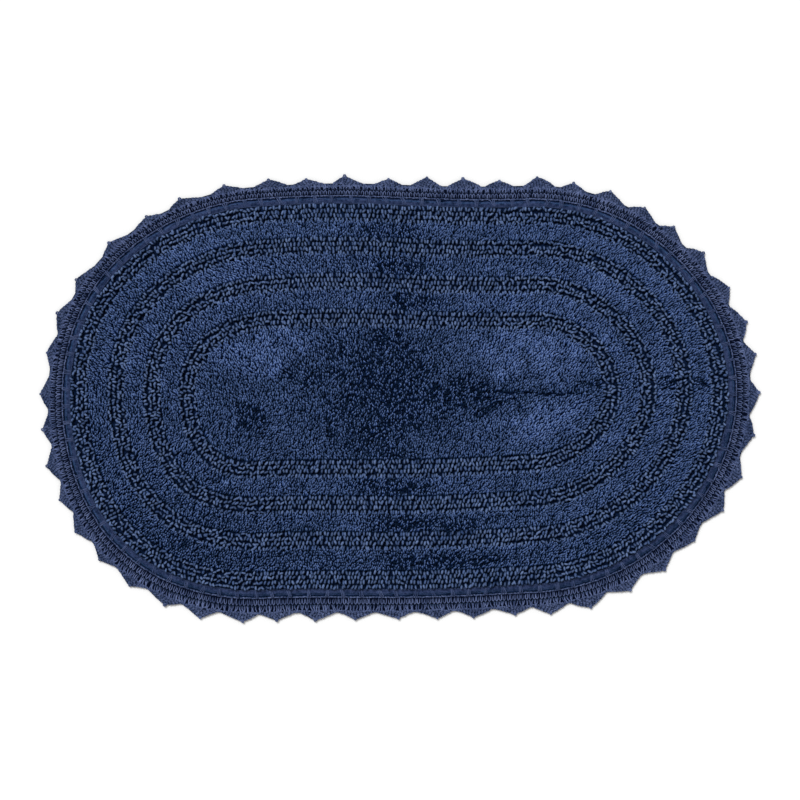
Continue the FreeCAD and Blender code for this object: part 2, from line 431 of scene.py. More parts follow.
def pile_lean(place, tone):
    """How far the tips lie from over the roots, per unit of height."""
    turn = comb(place) + 0.5 * field(place, 45 * MM, 5.0) + 0.6 * field(place, 8 * MM, 7.0)
    amount = 0.46 + 0.05 * tone
    return Vector((math.cos(turn), math.sin(turn), 0)) * amount


def parted(place):
    """How the nearest crease pushes the pile aside, from 0 to 1, as a vector; and its depth."""
    push, depth = Vector((0, 0, 0)), 0.0
    for start, finish, width, strength in CREASES:
        along = (finish - start).normalized()
        across = UP.cross(along)
        run = (place - start).dot(along)
        if 0 < run < (finish - start).length:
            on_line = start + along * run
            wavy = (4.0 * field(on_line, 17 * MM, 21.0) + 1.6 * field(on_line, 6 * MM, 22.0)) * MM
            off = (place - start).dot(across) + wavy
            broken = clamp(0.8 + 1.5 * field(on_line, 16 * MM, 23.0)) * strength
            push += across * math.copysign(broken * math.exp(-(off / (2.2 * width)) ** 2), off)
            depth = max(depth, broken * math.exp(-(off / width) ** 2))
    return push, depth


# ---------------------------------------------------------------- planting


def leaning(place, lean, turn, length, width, height):
    """The matrix that puts a standing shape somewhere, turned, scaled and leaning."""
    shear = Matrix.Identity(4)
    shear[0][2], shear[1][2] = lean.x, lean.y
    size = Matrix.Diagonal((length, width, height, 1))
    return Matrix.Translation(place) @ shear @ Matrix.Rotation(turn, 4, "Z") @ size


def lying(place, turn, length=1.0, width=1.0, height=1.0, tilt=0.0):
    """The matrix that lays a shape down: X turned in the plane, then tilted a little."""
    size = Matrix.Diagonal((length, width, height, 1))
    turned = Matrix.Rotation(turn, 4, "Z") @ Matrix.Rotation(tilt, 4, "X")
    return Matrix.Translation(place) @ turned @ size


def swept(profile, sections):
    """A closed hoop: a profile of (outward, up) points carried round through the sections."""
    shape = bmesh.new()
    verts = [shape.verts.new((x, 0, z)) for x, z in profile]
    edges = [shape.edges.new(pair) for pair in zip(verts, verts[1:] + verts[:1])]
    placed = Matrix.Identity(4)
    for number, place in enumerate(sections + sections[:1]):
        if number:
            verts, edges = next_ring(shape, edges)
        bmesh.ops.transform(shape, matrix=place @ placed.inverted(), verts=verts)
        placed = place
    bmesh.ops.remove_doubles(shape, verts=shape.verts, dist=0.001 * MM)
    bmesh.ops.recalc_face_normals(shape, faces=shape.faces[:])
    return shape


def sections_round(outline, level, spacing, width=1.0, height=1.0):
    """Places round an outline for swept(): outward is X, and up is Z."""
    count = round(outline.length() / spacing)
    size = Matrix.Diagonal((width, 1, height, 1))
    sections = []
    for number in range(count):
        place, outward = outline.at(number / count)
        turned = Matrix.Rotation(math.atan2(outward.y, outward.x), 4, "Z")
        sections.append(Matrix.Translation(place + UP * level) @ turned @ size)
    return sections


def row_body(line, width, height, level=LACE_LEVEL):
    """The thin hoop under a row of crochet: an ellipse of six sides, so wide and so high."""
    turns = [FULL_TURN * number / 6 for number in range(6)]
    profile = [(math.cos(turn) / 2, math.sin(turn) / 2) for turn in turns]
    return swept(profile, sections_round(line, level, 5 * MM, width, height))


def rows_between(outer, inner, pitch, margin):
    """Evenly spaced outlines that fill a ring, margin in from each of its boundaries."""
    width = outer.reach - inner.reach
    count = max(1, round((width - 2 * margin) / pitch) + 1)
    parts = [(margin + (width - 2 * margin) * n / max(1, count - 1)) / width for n in range(count)]
    return [outer.towards(inner, part) for part in parts]


def loop_plants(outer, inner, chance):
    """Rows of standing loops across a ring, each over a gap of the row before, as bricks lie.

    bend is 0 on the straight sides and 1 round the two ends, where the loops are less orderly.
    """
    plants = []
    margin = LOOP_SPAN / 2 - 0.4 * MM
    pitch = (outer.reach - inner.reach - 2 * margin) / (LOOP_ROWS - 1)
    for row_number, row in enumerate(rows_between(outer, inner, pitch, margin)):
        count = 2 * round(row.length() / LOOP_PITCH / 2)
        start = row_number % 2 * 0.5 - count * 0.25
        for number in range(count):
            share = (number + start + chance.uniform(-0.12, 0.12)) / count
            place, outward = row.at(share)
            bend = clamp((abs(place.x) - 110 * MM) / (120 * MM))
            place = place + outward * chance.uniform(-0.5, 0.5) * (1 + 1.4 * bend) * MM + UP * CLOTH_TOP
            tone = pile_lie_and_shade(place)
            push, depth = parted(place)
            across = math.atan2(outward.y, outward.x)
            turn = between_turns(across, comb(place), 0.6) + chance.gauss(0, 0.28 + 0.75 * bend)
            lean = Vector((chance.gauss(0, 0.12), chance.gauss(0, 0.12), 0)) + push * 0.4
            lean += outward * (0.14 if row_number == 0 else 0)
            length = chance.uniform(0.88, 1.12) * (1 - 0.3 * depth) * (1 - 0.1 * bend)
            width = chance.uniform(0.8, 1.1) * (1 - 0.3 * depth)
            height = chance.uniform(0.82, 1.02) * (1 - 0.4 * depth)
            # Random tone, plus painted shade and highlight from how the pile lies here, and painted
            # shade in a crease
            tone_and_painted_shade = 0.5 + 0.14 * tone + chance.uniform(-0.2, 0.2) - 0.3 * depth
            plants.append((0, leaning(place, lean, turn, length, width, height), tone_and_painted_shade))
    return plants


def between_turns(first, second, part):
    """The direction that lies part of the way from one to another; a half turn is no turn."""
    apart = (second - first + FULL_TURN / 4) % (FULL_TURN / 2) - FULL_TURN / 4
    return first + apart * part


def cut_plants(rows, chance, kinds, brighter=0.0):
    """Cut yarn ends along rows, combed the way the pile lies."""
    plants = []
    for row in rows:
        count = max(3, round(row.length() / CUT_PITCH))
        start = chance.random()
        for number in range(count):
            share = (number + start + chance.uniform(-0.35, 0.35)) / count
            place, outward = row.at(share)
            place = place + outward * chance.uniform(-0.9, 0.9) * MM + UP * CLOTH_TOP
            tone = pile_lie_and_shade(place)
            push, depth = parted(place)
            if depth > 0.4:
                continue
            lean = pile_lean(place, tone) * (1 - push.length)
            lean += Vector((chance.gauss(0, 0.1), chance.gauss(0, 0.1), 0)) + push * 0.3
            size = chance.uniform(0.85, 1.15) * (1 + 0.14 * tone) * (1 - 0.4 * depth)
            sunk = chance.uniform(0.4, 0.66) * max(0.0, -tone) * (chance.random() < 0.46)
            height = (chance.uniform(0.86, 1.0) - sunk) * (1 - 0.45 * depth)
            turn = math.atan2(lean.y, lean.x) + chance.gauss(0, 0.3)
            # Painted highlight where the pile lies bright and on tall ends in dark patches; sunk ends
            # and ends in a crease get painted shade
            painted_highlight = 0.4 * max(tone, -0.35 * tone)
            tone_and_painted_shade = 0.5 + brighter + painted_highlight + chance.uniform(-0.2, 0.2) - 0.3 * depth - sunk
            kind = chance.randrange(kinds)
            root = place - lean * (CUT_HEIGHT / 2)
            plants.append((kind, leaning(root, lean, turn, size, size, height), tone_and_painted_shade))
    return plants


def planted(name, templates, plants, body=None):
    """One mesh of many copies. Each plant is which template, its matrix and its tone.

    A plain body may lie under the plants, with the lowest tone, so that it is painted as dark as the
    shade between them.
    """
    if body:
        plants = plants + [(len(templates), Matrix.Identity(4), 0.0)]
        templates = templates + [Template(body)]
    shape = bmesh.new()
    for kind, place, _ in plants:
        templates[kind].plant(shape, place)
    mesh = mesh_of(shape, name + "_cotton")
    sizes = [len(templates[kind].mesh.vertices) for kind, _, _ in plants]
    tones = np.repeat(np.array([tone for _, _, tone in plants], np.float32), sizes)
    mesh.attributes.new("tone", "FLOAT", "POINT").data.foreach_set("value", tones)
    return mesh


def waves(table, phase):
    """The waves of a table added up, each phase being a part of the way round as a turn."""
    return sum(height * np.cos(count * phase - crest) for count, height, crest in table)


def hand_made(mesh):
    """Moves a mesh as handwork wanders: a few slow waves round the mat, none at its middle."""
    spots = np.empty(len(mesh.vertices) * 3, np.float32)
    mesh.vertices.foreach_get("co", spots)
    spots = spots.reshape(-1, 3)
    half = TAPE.straight_half
    x = spots[:, 0] - TAPE.centre.x
    y = spots[:, 1] - TAPE.centre.y
    middle = np.clip(x, -half, half)
    away = np.hypot(x - middle, y)
    turn = np.arctan2(y, x - middle) % FULL_TURN
    passed = np.where(y >= 0, half - middle, 3 * half + middle)
    phase = FULL_TURN * (TAPE.reach * turn + passed) / TAPE.length()
    fade = np.clip(away / WANDER_FADE, 0, 1)
    lace = np.clip((away - TAPE.reach) / LACE_WIDTH, 0, 1)
    push = waves(WANDER, phase)
    push = push + waves(CLOTH_WANDER, phase) * (1 - lace) + waves(LACE_WANDER, phase) * lace
    push = push * fade * fade * (3 - 2 * fade) / np.maximum(away, 1e-6)
    spots[:, 0] += push * (x - middle)
    spots[:, 1] += push * y
    mesh.vertices.foreach_set("co", spots.ravel())


def bake_map(mesh):
    """Gives every face its own small patch of a square, for baking the finish."""
    count = len(mesh.polygons)
    grid = math.ceil(math.sqrt(count))
    sizes = np.empty(count, np.int32)
    mesh.polygons.foreach_get("loop_total", sizes)
    face = np.repeat(np.arange(count), sizes)
    first = np.repeat(np.cumsum(sizes) - sizes, sizes)
    turn = FULL_TURN * (np.arange(len(face)) - first) / np.repeat(sizes, sizes) + FULL_TURN / 8
    u = (face % grid + 0.5 + 0.45 * np.cos(turn)) / grid
    v = (face // grid + 0.5 + 0.45 * np.sin(turn)) / grid
    layer = mesh.uv_layers.new(name="OFBake")
    layer.data.foreach_set("uv", np.stack([u, v], 1).astype(np.float32).ravel())


def in_scene(name, data):
    """A new object of the scene that shows a mesh, a light or a camera."""
    made = bpy.data.objects.new(name, data)
    bpy.context.scene.collection.objects.link(made)
    return made


def finished(mesh, nodes, finish, patches=True):
    """Wanders a mesh, smooths it, and makes it the piece that stands for CAD nodes."""
    hand_made(mesh)
    mesh.polygons.foreach_set("use_smooth", np.ones(len(mesh.polygons), bool))
    if patches:
        bake_map(mesh)
    mesh.materials.append(finish)
    piece = in_scene(mesh.name, mesh)
    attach(piece, "root")
    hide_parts(*nodes)
    return piece


# ---------------------------------------------------------------- finishes


def operation(name):
    """A method that puts one operation of the maths node on a value, and perhaps another."""
    return lambda value, *others: value.maths(name, value, *others)


class Value:
    """A number socket that Python's operators do maths on."""

    def __init__(self, finish, socket):
        self.finish = finish
        self.socket = socket

    def maths(self, name, *values):
        made = self.finish.node("ShaderNodeMath", {"operation": name}, *values)
        return Value(self.finish, made.outputs[0])

    __add__ = operation("ADD")
    __sub__ = operation("SUBTRACT")
    __mul__ = operation("MULTIPLY")
    __truediv__ = operation("DIVIDE")
    __pow__ = operation("POWER")
    sine = operation("SINE")
    size = operation("ABSOLUTE")

    def clamped(self):
        return self.maths("MAXIMUM", self.maths("MINIMUM", self, 1.0), 0.0)


class Finish:
    """A material and the nodes that make it."""

    def __init__(self, title, roughness, sheen):
        self.material = bpy.data.materials.new(title)
        self.material.use_nodes = True
        self.tree = self.material.node_tree
        self.shader = self.tree.nodes["Principled BSDF"]
        looks = {"Roughness": roughness, "Sheen Weight": sheen, "Sheen Roughness": 0.45}
        looks |= {"Sheen Tint": (0.15, 0.45, 1.0, 1), "Specular IOR Level": 0.03}
        for name, value in looks.items():
            self.put(self.shader.inputs[name], value)

    def put(self, socket, value):
        """Gives an input a constant, or what comes out of another node."""
        if isinstance(value, Value):
            value = value.socket
        if isinstance(value, bpy.types.NodeSocket):
            self.tree.links.new(value, socket)
        else:
            socket.default_value = value

    def node(self, kind, settings, *values, **named):
        """Adds a node: its settings first, then its inputs by place or by name."""
        made = self.tree.nodes.new(kind)
        for setting, value in settings.items():
            setattr(made, setting, value)
        for place, value in list(enumerate(values)) + list(named.items()):
            self.put(made.inputs[place], value)
        return made

    def attribute(self, name):
        return Value(self, self.node("ShaderNodeAttribute", {"attribute_name": name}).outputs["Fac"])

    def object_place(self):
        return self.node("ShaderNodeTexCoord", {}).outputs["Object"]

    def parts(self, vector):
        """The X, Y and Z of a vector."""
        made = self.node("ShaderNodeSeparateXYZ", {}, vector)
        return [Value(self, socket) for socket in made.outputs]

    def noise(self, where, scale, detail=2.0):
        made = self.node("ShaderNodeTexNoise", {}, Vector=where, Scale=scale, Detail=detail)
        return Value(self, made.outputs["Fac"])

    def mixed(self, part, first, second):
        """The colour between two others, each a colour or a socket."""
        made = self.node("ShaderNodeMix", {"data_type": "RGBA"})
        for place, value in ((0, part), (6, first), (7, second)):
            self.put(made.inputs[place], value)
        return made.outputs[2]

    def colour(self, value):
        self.put(self.shader.inputs["Base Color"], value)

    def bump(self, height, depth):
        made = self.node("ShaderNodeBump", {}, Height=height, Distance=depth)
        self.put(self.shader.inputs["Normal"], made.outputs["Normal"])


# Near black: the painted shade deepest down between yarns and stitches
PAINTED_SHADE_BLACK = (0.0002, 0.0010, 0.0060, 1)
NAVY_DARK = (0.007, 0.023, 0.082, 1)
FLOOR_GREY = (0.6, 0.6, 0.6, 1)

# Of each yarn: the painted shade deep down between yarns, its darkest tone and its lightest
LOOP_COLOURS = ((0.0002, 0.0025, 0.012, 1), NAVY_DARK, (0.113, 0.161, 0.290, 1))
PLUSH_COLOURS = ((0.0030, 0.0240, 0.148, 1), NAVY_DARK, (0.115, 0.176, 0.360, 1))
LACE_COLOURS = ((0.0040, 0.0080, 0.028, 1), (0.028, 0.041, 0.098, 1), (0.098, 0.126, 0.240, 1))

# Of each cloth: its darkest tone and its lightest
# The ground cloth's own dark navy, painted near black for the shade it lies in under the pile and the
# back stitches
GROUND_COLOURS = (PAINTED_SHADE_BLACK, (0.0035, 0.0110, 0.042, 1))
TAPE_COLOURS = ((0.004, 0.009, 0.030, 1), (0.033, 0.047, 0.112, 1))


def cotton_yarn(name, pitch, root, deep, colours):
    """Dyed cotton yarn: two plies that wind round it, with painted shade in the grooves between them,
    soft fibres, and painted shade near its root level, where yarns lie deep among others.

    The two depths given are where that painted shade is darkest and where it ends, in distance from the
    root level.
    """
    finish = Finish(name, 0.95, 0.1)
    place = finish.object_place()
    fibres = finish.noise(place, 900.0, 3.0)
    blotches = finish.noise(place, 60.0, 2.0)
    flat = finish.node("ShaderNodeUVMap", {"uv_map": "Yarn"})
    around, along, _ = finish.parts(flat.outputs["UV"])
    twist = (around * (2 * FULL_TURN) + along * (FULL_TURN / pitch)).sine()
    # The twist also paints shade in the grooves between the plies and light on their crests, in step
    # with its bump
    tone = finish.attribute("tone") + (fibres - 0.5) * 0.5 + (blotches - 0.5) * 0.3 + twist * 0.07
    face = finish.mixed(tone.clamped(), colours[1], colours[2])
    # Painted shade: the colour darkens towards the root level, deep between the yarns
    stand = (finish.parts(place)[2] - root).size()
    depth = ((stand - deep[0]) / (deep[1] - deep[0])).clamped()
    # The painted shade deep down: near black where the tone is low, the bluer deep colour of the yarn's
    # table where it is high
    painted_gap_shade = finish.mixed((tone * 2 - 0.8).clamped(), PAINTED_SHADE_BLACK, colours[0])
    finish.colour(finish.mixed(depth ** 1.3, painted_gap_shade, face))
    finish.bump(twist * 0.5 + fibres * 0.6, 0.35 * MM)
    return finish.material


def woven(name, pitch, colours):
    """A plain weave of dyed threads, a little uneven in colour."""
    finish = Finish(name, 0.9, 0.25)
    place = finish.object_place()
    wave = FULL_TURN / pitch
    warp, weft = [(part * wave).sine() for part in finish.parts(place)[:2]]
    blotches = finish.noise(place, 90.0, 2.0)
    creases = finish.noise(place, 330.0, 2.0)
    weave = warp * weft
    tone = (blotches * 0.9 + creases * 2.1 + weave * 0.18 - 1.08).clamped()
    finish.colour(finish.mixed(tone, *colours))
    finish.bump(weave * 0.5 + finish.noise(place, 700.0, 2.0), 0.3 * MM)
    return finish.material


# ---------------------------------------------------------------- the pieces


def pile_outlines():
    """The outline of every pile ring from the outside in, and last that of the middle."""
    names = ["loop_ring_1", "plush_ring_1", "loop_ring_2", "plush_ring_2", "loop_ring_3"]
    names += ["plush_ring_3", "loop_ring_4", "middle_plush"]
    return names, [outline_of(name) for name in names]


def make_pile():
    names, outlines = pile_outlines()
    looped = cotton_yarn("looped_cotton", 2.4, CLOTH_TOP, (3.7 * MM, 6.5 * MM), LOOP_COLOURS)
    cut = cotton_yarn("cut_cotton", 3.0, CLOTH_TOP, (3.2 * MM, 7.4 * MM), PLUSH_COLOURS)
    loops = [standing_loop()]
    ends = [cut_end(droop * MM, fray) for droop, fray in CUT_ENDS]
    chance = random.Random(11)
    for name, outer, inner in zip(names, outlines, outlines[1:]):
        if name.startswith("loop"):
            mesh = planted(name, loops, loop_plants(outer, inner, chance))
            finished(mesh, [name], looped)
        else:
            rows = rows_between(outer, inner, CUT_PITCH, 0.9 * MM)
            mesh = planted(name, ends, cut_plants(rows, chance, len(ends), 0.06))
            finished(mesh, [name], cut)
    make_middle(outlines[-1], ends, cut, chance)


def make_middle(outline, ends, finish, chance):
    """The middle field, in three pieces, each inside the last."""
    borders = [outline.inset(outline.reach * part) for part in (0, 0.3, 0.63, 1)]
    for name, outer, inner in zip(("outer", "inner", "centre"), borders, borders[1:]):
        rows = rows_between(outer, inner, CUT_PITCH, CUT_PITCH / 2)
        mesh = planted("middle_plush_" + name, ends, cut_plants(rows, chance, len(ends)))
        finished(mesh, ["middle_plush"], finish)


def back_plants(outer, inner, chance):
    """Rows of flat running stitches across a ring, under the cloth."""
    plants = []
    level = UP * CLOTH_BOTTOM * 0.5
    for row in rows_between(outer, inner, BACK_PITCH, BACK_PITCH / 2):
        count = max(3, round(row.length() / BACK_PITCH))
        start = chance.random()
        for number in range(count):
            place, outward = row.at((number + start + chance.uniform(-0.05, 0.05)) / count)
            turn = math.atan2(outward.x, -outward.y) + chance.gauss(0.12, 0.08)
            width = chance.uniform(0.9, 1.1)
            laid = lying(place + level, turn, 1.05, width, 0.78)
            plants.append((0, laid, chance.uniform(0.3, 0.7)))
    return plants


def make_backs():
    """The stitches of every ring on the underside, and of the middle field."""
    names, outlines = pile_outlines()
    finish = cotton_yarn("back_cotton", 3.0, CLOTH_BOTTOM, (0.3 * MM, 2.2 * MM), PLUSH_COLOURS)
    stitch = [back_stitch()]
    chance = random.Random(23)
    inners = outlines[1:] + [outlines[-1].inset(outlines[-1].reach)]
    for name, outer, inner in zip(names, outlines, inners):
        mesh = planted(name + "_back", stitch, back_plants(outer, inner, chance))
        finished(mesh, [name + "_back"], finish)


def make_ground_cloth():
    """The woven cloth between pile and back stitches, cut to an oval."""
    outline = outline_of("ground_cloth")
    shape = bmesh.new()
    bmesh.ops.create_circle(shape, cap_ends=True, segments=240, radius=outline.reach)
    for end in (1, -1):
        half = [v for v in shape.verts if v.co.x * end > 0.01 * MM]
        bmesh.ops.translate(shape, verts=half, vec=(end * outline.straight_half, 0, 0))
    long_edges = [e for e in shape.edges if e.calc_length() > outline.straight_half / 2]
    bmesh.ops.subdivide_edges(shape, edges=long_edges, cuts=30)
    bmesh.ops.translate(shape, verts=shape.verts, vec=outline.centre + UP * CLOTH_BOTTOM)
    thickened(shape, shape.faces[:], CLOTH_TOP - CLOTH_BOTTOM)
    mesh = mesh_of(shape, "ground_cloth_cotton")
    weave = woven("cloth_weave", 1.1 * MM, GROUND_COLOURS)
    cloth = finished(mesh, ["ground_cloth"], weave, False)
    mesh.polygons.foreach_set("use_smooth", np.zeros(len(mesh.polygons), bool))


def make_tape():
    """The binding tape: a U over the cloth's edge that puffs between the crochet bars."""
    low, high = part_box("binding_tape")
    inner = outline_of("loop_ring_1").reach + 0.3 * MM
    outer = TAPE.reach - TAPE_DRAWN_IN
    thick = high.z - CLOTH_TOP
    middle = (low.z + high.z) / 2
    # From the inner edge outwards, and from the outer one inwards; how far over the flat tape
    rising = ((0, -0.4), (0.6, -0.1), (2.0, 0.1), (3.4, 0.3), (4.8, 0.35), (6.2, 0.3))
    falling = ((2.4, 0.1), (1.1, -0.3), (0.3, -0.9))
    upper = [(inner, CLOTH_TOP)]
    upper += [(inner + x * MM, high.z + z * MM) for x, z in rising]
    upper += [(outer - x * MM, high.z + z * MM) for x, z in falling]
    upper.append((outer, middle))
    inside = [(outer - thick, middle), (outer - thick * 1.2, CLOTH_TOP)]
    profile = upper + [(x, 2 * middle - z) for x, z in reversed(upper[:-1])]
    profile += [(x, 2 * middle - z) for x, z in reversed(inside[1:])] + inside
    profile = [(x - TAPE.reach, z) for x, z in profile]
    sections = sections_round(TAPE, 0, 2.6 * MM)
    shape = swept(profile, sections)
    shape.verts.ensure_lookup_table()
    for number, vert in enumerate(shape.verts):
        section, place = divmod(number, len(profile))
        share = section / len(sections)
        puff = 0.5 + 0.5 * math.cos(FULL_TURN * BAR_COUNT * share)
        if vert.co.z > CLOTH_TOP + 0.3 * MM:
            fold = noise.noise(Vector((section * 0.3, place * 3.7, 4.0)))
            crumple = 0.9 * fold + 0.5 * field(vert.co, 6 * MM, 8.0)
            vert.co.z += (0.6 * math.sqrt(puff) - 0.5 + crumple) * MM
    mesh = mesh_of(shape, "binding_tape_cotton")
    finish = woven("tape_weave", 0.9 * MM, TAPE_COLOURS)
    tape = finished(mesh, ["binding_tape"], finish, False)
    length = TAPE.inset((outer - inner) / 2).length()


def make_seam():
    """The seam's two threads: short stitches on the tape and under it."""
    stitch = [Template(straight_strand(SEAM_STITCH * 0.92, 0.25 * MM, SEAM_YARN))]
    finish = cotton_yarn("sewing_cotton", 1.5, CLOTH_BOTTOM, (0, 0.1 * MM), LACE_COLOURS)
    chance = random.Random(31)
    for name, flip in (("needle_thread", 1), ("bobbin_thread", -1)):
        low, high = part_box(name)
        line = outline_of(name).inset((high.z - low.z) / 2)
        level = UP * (low.z + high.z) / 2
        count = round(line.length() / SEAM_STITCH)
        plants = []
        for number in range(count):
            place, outward = line.at(number / count)
            turn = math.atan2(outward.x, -outward.y) + chance.gauss(0, 0.05)
            plants.append((0, lying(place + level, turn, 1, 1, flip), 0.15))
        finished(planted(name, stitch, plants), [name], finish)


def row_plants(kinds, outline, pitch, chance, level):
    """Stitches evenly along an outline, of the given kinds."""
    plants = []
    count = round(outline.length() / pitch)
    start = chance.random()
    for number in range(count):
        place, outward = outline.at((number + start + chance.uniform(-0.08, 0.08)) / count)
        turn = math.atan2(outward.x, -outward.y) + chance.gauss(0, 0.14)
        place = place + outward * chance.uniform(-0.3, 0.3) * MM
        place += UP * (level + chance.uniform(-0.1, 0.12) * MM)
        fit = chance.uniform(0.9, 1.06)
        wide = fit * chance.choice((-1, 1))
        laid = lying(place, turn, fit, wide, chance.choice((-1, 1)), chance.gauss(0, 0.1))
        plants.append((chance.choice(kinds), laid, lace_tone(place, chance)))
    return plants


def lace_tone(place, chance):
    """How bright a stitch of the lace is: most are alike, and those at the mat's ends darker."""
    ends = clamp((abs(place.x) - 200 * MM) / (150 * MM))
    return 0.48 - 0.1 * ends + 0.3 * field(place, 18 * MM, 6.0) + chance.gauss(0, 0.18)


def make_foundation_chain(finish, chance):
    """A thin cord of chain stitches, past the groove beside the tape, on a thin body painted dark as
    the shade in that groove.
    """
    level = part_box("foundation_chain")[1].z - LACE_LEVEL
    line = outline_of("foundation_chain")
    line = line.inset(line.reach - (TAPE.reach - TAPE_DRAWN_IN + GROOVE + CHAIN_WIDTH / 2))
    link = Template(chain_link(STITCH * 0.85, CHAIN_WIDTH * 0.24, CHAIN_WIDTH * 0.6))
    plants = row_plants([0], line, STITCH * 0.85, chance, LACE_LEVEL + level * 0.2)
    body = row_body(line.inset(GROOVE / 2), 5 * MM, 0.5 * MM, LACE_LEVEL - 0.3 * MM)
    mesh = planted("foundation_chain", [link], plants, body)
    finished(mesh, ["foundation_chain"], finish)
    return line.inset(0.2 * MM)


def make_header_row(inner, outer, finish, chance):
    """The inner header row: tall curled stitches on a thin body painted dark as the shade between them.
    """
    middle = outer.towards(inner, 0.5)
    width = outer.reach - inner.reach
    curls = [Template(curl(width, CURL_WIDTH, LACE_YARN, tuck)) for tuck in (0.28, 0.1, -0.08)]
    count = round(middle.length() / STITCH)
    plants = []
    for number in range(count):
        share = (number + chance.uniform(-0.1, 0.1)) / count
        foot = inner.at(share + chance.gauss(0, 0.12) / count, middle)[0]
        head = outer.at(share, middle)[0]
        kind = chance.randrange(len(curls))
        plants.append(laid_between(kind, foot, head, width, chance, 0, chance.uniform(0.9, 1.1)))
    mesh = planted("header_row_1", curls, plants, row_body(middle, width + 4 * MM, 0.3 * MM))
    finished(mesh, ["header_row_1"], finish)


def point_share(number):
    """Where a point's middle lies round the mat; number may fall between two points."""
    turn = FULL_TURN * number / POINT_COUNT
    drift = sum(height * math.cos(times * turn - crest) for times, height, crest in POINT_DRIFTS)
    return (number + POINT_SHIFT + drift) / POINT_COUNT


class Point:
    """One crocheted point: where its stitches go, in shares along the edge and reach out of it."""

    def __init__(self, number, base, tip_reach, chance):
        self.base = base
        self.start = point_share(number - 0.5)
        self.end = point_share(number + 0.5)
        self.peak = 0.5 + clamp(chance.gauss(0.035, 0.055), -0.08, 0.15)
        self.depth = (tip_reach - base.reach) * chance.uniform(0.76, 1.2)
        self.roundness = (chance.uniform(0.7, 1.3), chance.uniform(0.7, 1.3))

    def spot(self, part, out):
        """The place at a part of the way across the point, and out so far from its base."""
        outline = self.base.inset(-out)
        return outline.at(self.start + (self.end - self.start) * part, self.base)

    def edge(self, part):
        """How far the point's outline is from its base, part of the way across."""
        rising = part < self.peak
        side = part / self.peak if rising else (1 - part) / (1 - self.peak)
        return self.depth * clamp(side, 0.0, BLUNT_TIP) ** self.roundness[0 if rising else 1]

    def rim(self, part, inward):
        """The place so far inward of the point's outline."""
        return self.spot(part, self.edge(part) - inward)[0]


def laid_between(kind, start, finish, template_length, chance, level, width):
    """The plant that stretches a lying template from one place to another."""
    along = finish - start
    turn = math.atan2(along.y, along.x)
    middle = (start + finish) / 2 + UP * (LACE_LEVEL + level + chance.uniform(-0.1, 0.12) * MM)
    flip = chance.choice((-1, 1))
    place = lying(middle, turn, along.length / template_length, width * flip, 1.0, chance.gauss(0, 0.1))
    return kind, place, lace_tone(middle, chance)


def fan_plants(point, inner, chance):
    """The outer header row under one point: posts that cross and fan out, tied by chain links."""
    plants = []
    for number in range(POSTS_IN_POINT):
        part = (number + 0.5) / POSTS_IN_POINT
        share = point.start + (point.end - point.start) * (0.5 + (part - 0.5) * 0.95)
        foot, _ = inner.at(share, point.base)
        slip = chance.choice((-1, 1)) * chance.uniform(0.01, 0.06)
        head, _ = point.spot(part + slip, chance.uniform(0.3, 1.5) * MM)
        plants.append(laid_between(0, foot, head, STITCH, chance, 0, chance.uniform(0.85, 1.15)))
        near, _ = point.spot(part, chance.uniform(-2.4, 0.2) * MM)
        far, _ = point.spot(part + 1 / POSTS_IN_POINT, chance.uniform(-2.4, 0.2) * MM)
        plants.append(laid_between(1, near, far, STITCH, chance, 0.2 * MM, chance.uniform(0.8, 1.1)))
    return plants


def point_plants(point, chance):
    """Rows of chain links that follow the two sides of a point, from its rim inwards."""
    plants = []
    for row in range(math.ceil(point.depth / LINK_ROW)):
        inward = 0.75 * MM + row * LINK_ROW
        shift = chance.uniform(-0.5, 0.5) if row else 0
        for number in range(LINKS_IN_POINT):
            parts = [(number + step + shift) / LINKS_IN_POINT for step in (0, 1)]
            if row == 0 or min(point.edge(part) for part in parts) > inward - 1.0 * MM:
                start = point.rim(parts[0], inward + chance.uniform(-0.3, 0.3) * MM)
                finish = point.rim(parts[1], inward + chance.uniform(-0.3, 0.3) * MM)
                wide = chance.uniform(0.8, 1.1)
                plants.append(laid_between(1, start, finish, STITCH, chance, 0.05 * MM, wide))
    return plants


def point_body(point):
    """The thin body of a point, under its stitches, painted dark as the shade between them."""
    shape = bmesh.new()
    steps = 10
    rim = [point.rim(n / steps, 0.6 * MM) for n in range(steps + 1)]
    base = [point.spot(n / steps, -0.8 * MM)[0] for n in range(steps, -1, -1)]
    outline = [shape.verts.new(place + UP * (LACE_LEVEL - 0.15 * MM)) for place in rim + base]
    return thickened(shape, [shape.faces.new(outline)], 0.3 * MM)


def make_points(inner, base, finish, chance):
    """The outer header row, the lace points that it opens into, and the picot on each tip."""
    tip_reach = (cad_box[1].y - cad_box[0].y) / 2 - 1.1 * MM + LACE_RELAXED
    width = base.reach - inner.reach
    post = Template(twisted_pair(STITCH, POST_SPREAD, POST_YARN))
    link = Template(chain_link(STITCH, LINK_SPREAD, LINK_YARN))
    fans, plants, knots, bodies = [], [], [], []
    for number in range(POINT_COUNT):
        point = Point(number, base, tip_reach, chance)
        fans += fan_plants(point, inner, chance)
        plants += point_plants(point, chance)
        bodies.append(point_body(point))
        tip, outward = point.spot(point.peak, point.edge(point.peak) - 0.7 * MM)
        turn = math.atan2(outward.y, outward.x) + chance.gauss(0, 0.4)
        size = chance.uniform(0.85, 1.25)
        knot = lying(tip + UP * LACE_LEVEL, turn, size, size)
        knots.append((0, knot, lace_tone(tip, chance) - 0.1))
    # A thin body under the fans, painted dark as the shade between them
    body = row_body(base.towards(inner, 0.5), width + 3 * MM, 0.3 * MM)
    row = planted("header_row_2", [post, link], fans, body)
    finished(row, ["header_row_2"], finish)
    mesh = planted("lace_points", [post, link], plants, joined(*bodies))
    finished(mesh, ["lace_points"], finish)
    finished(planted("picots", [picot()], knots), ["picots"], finish)


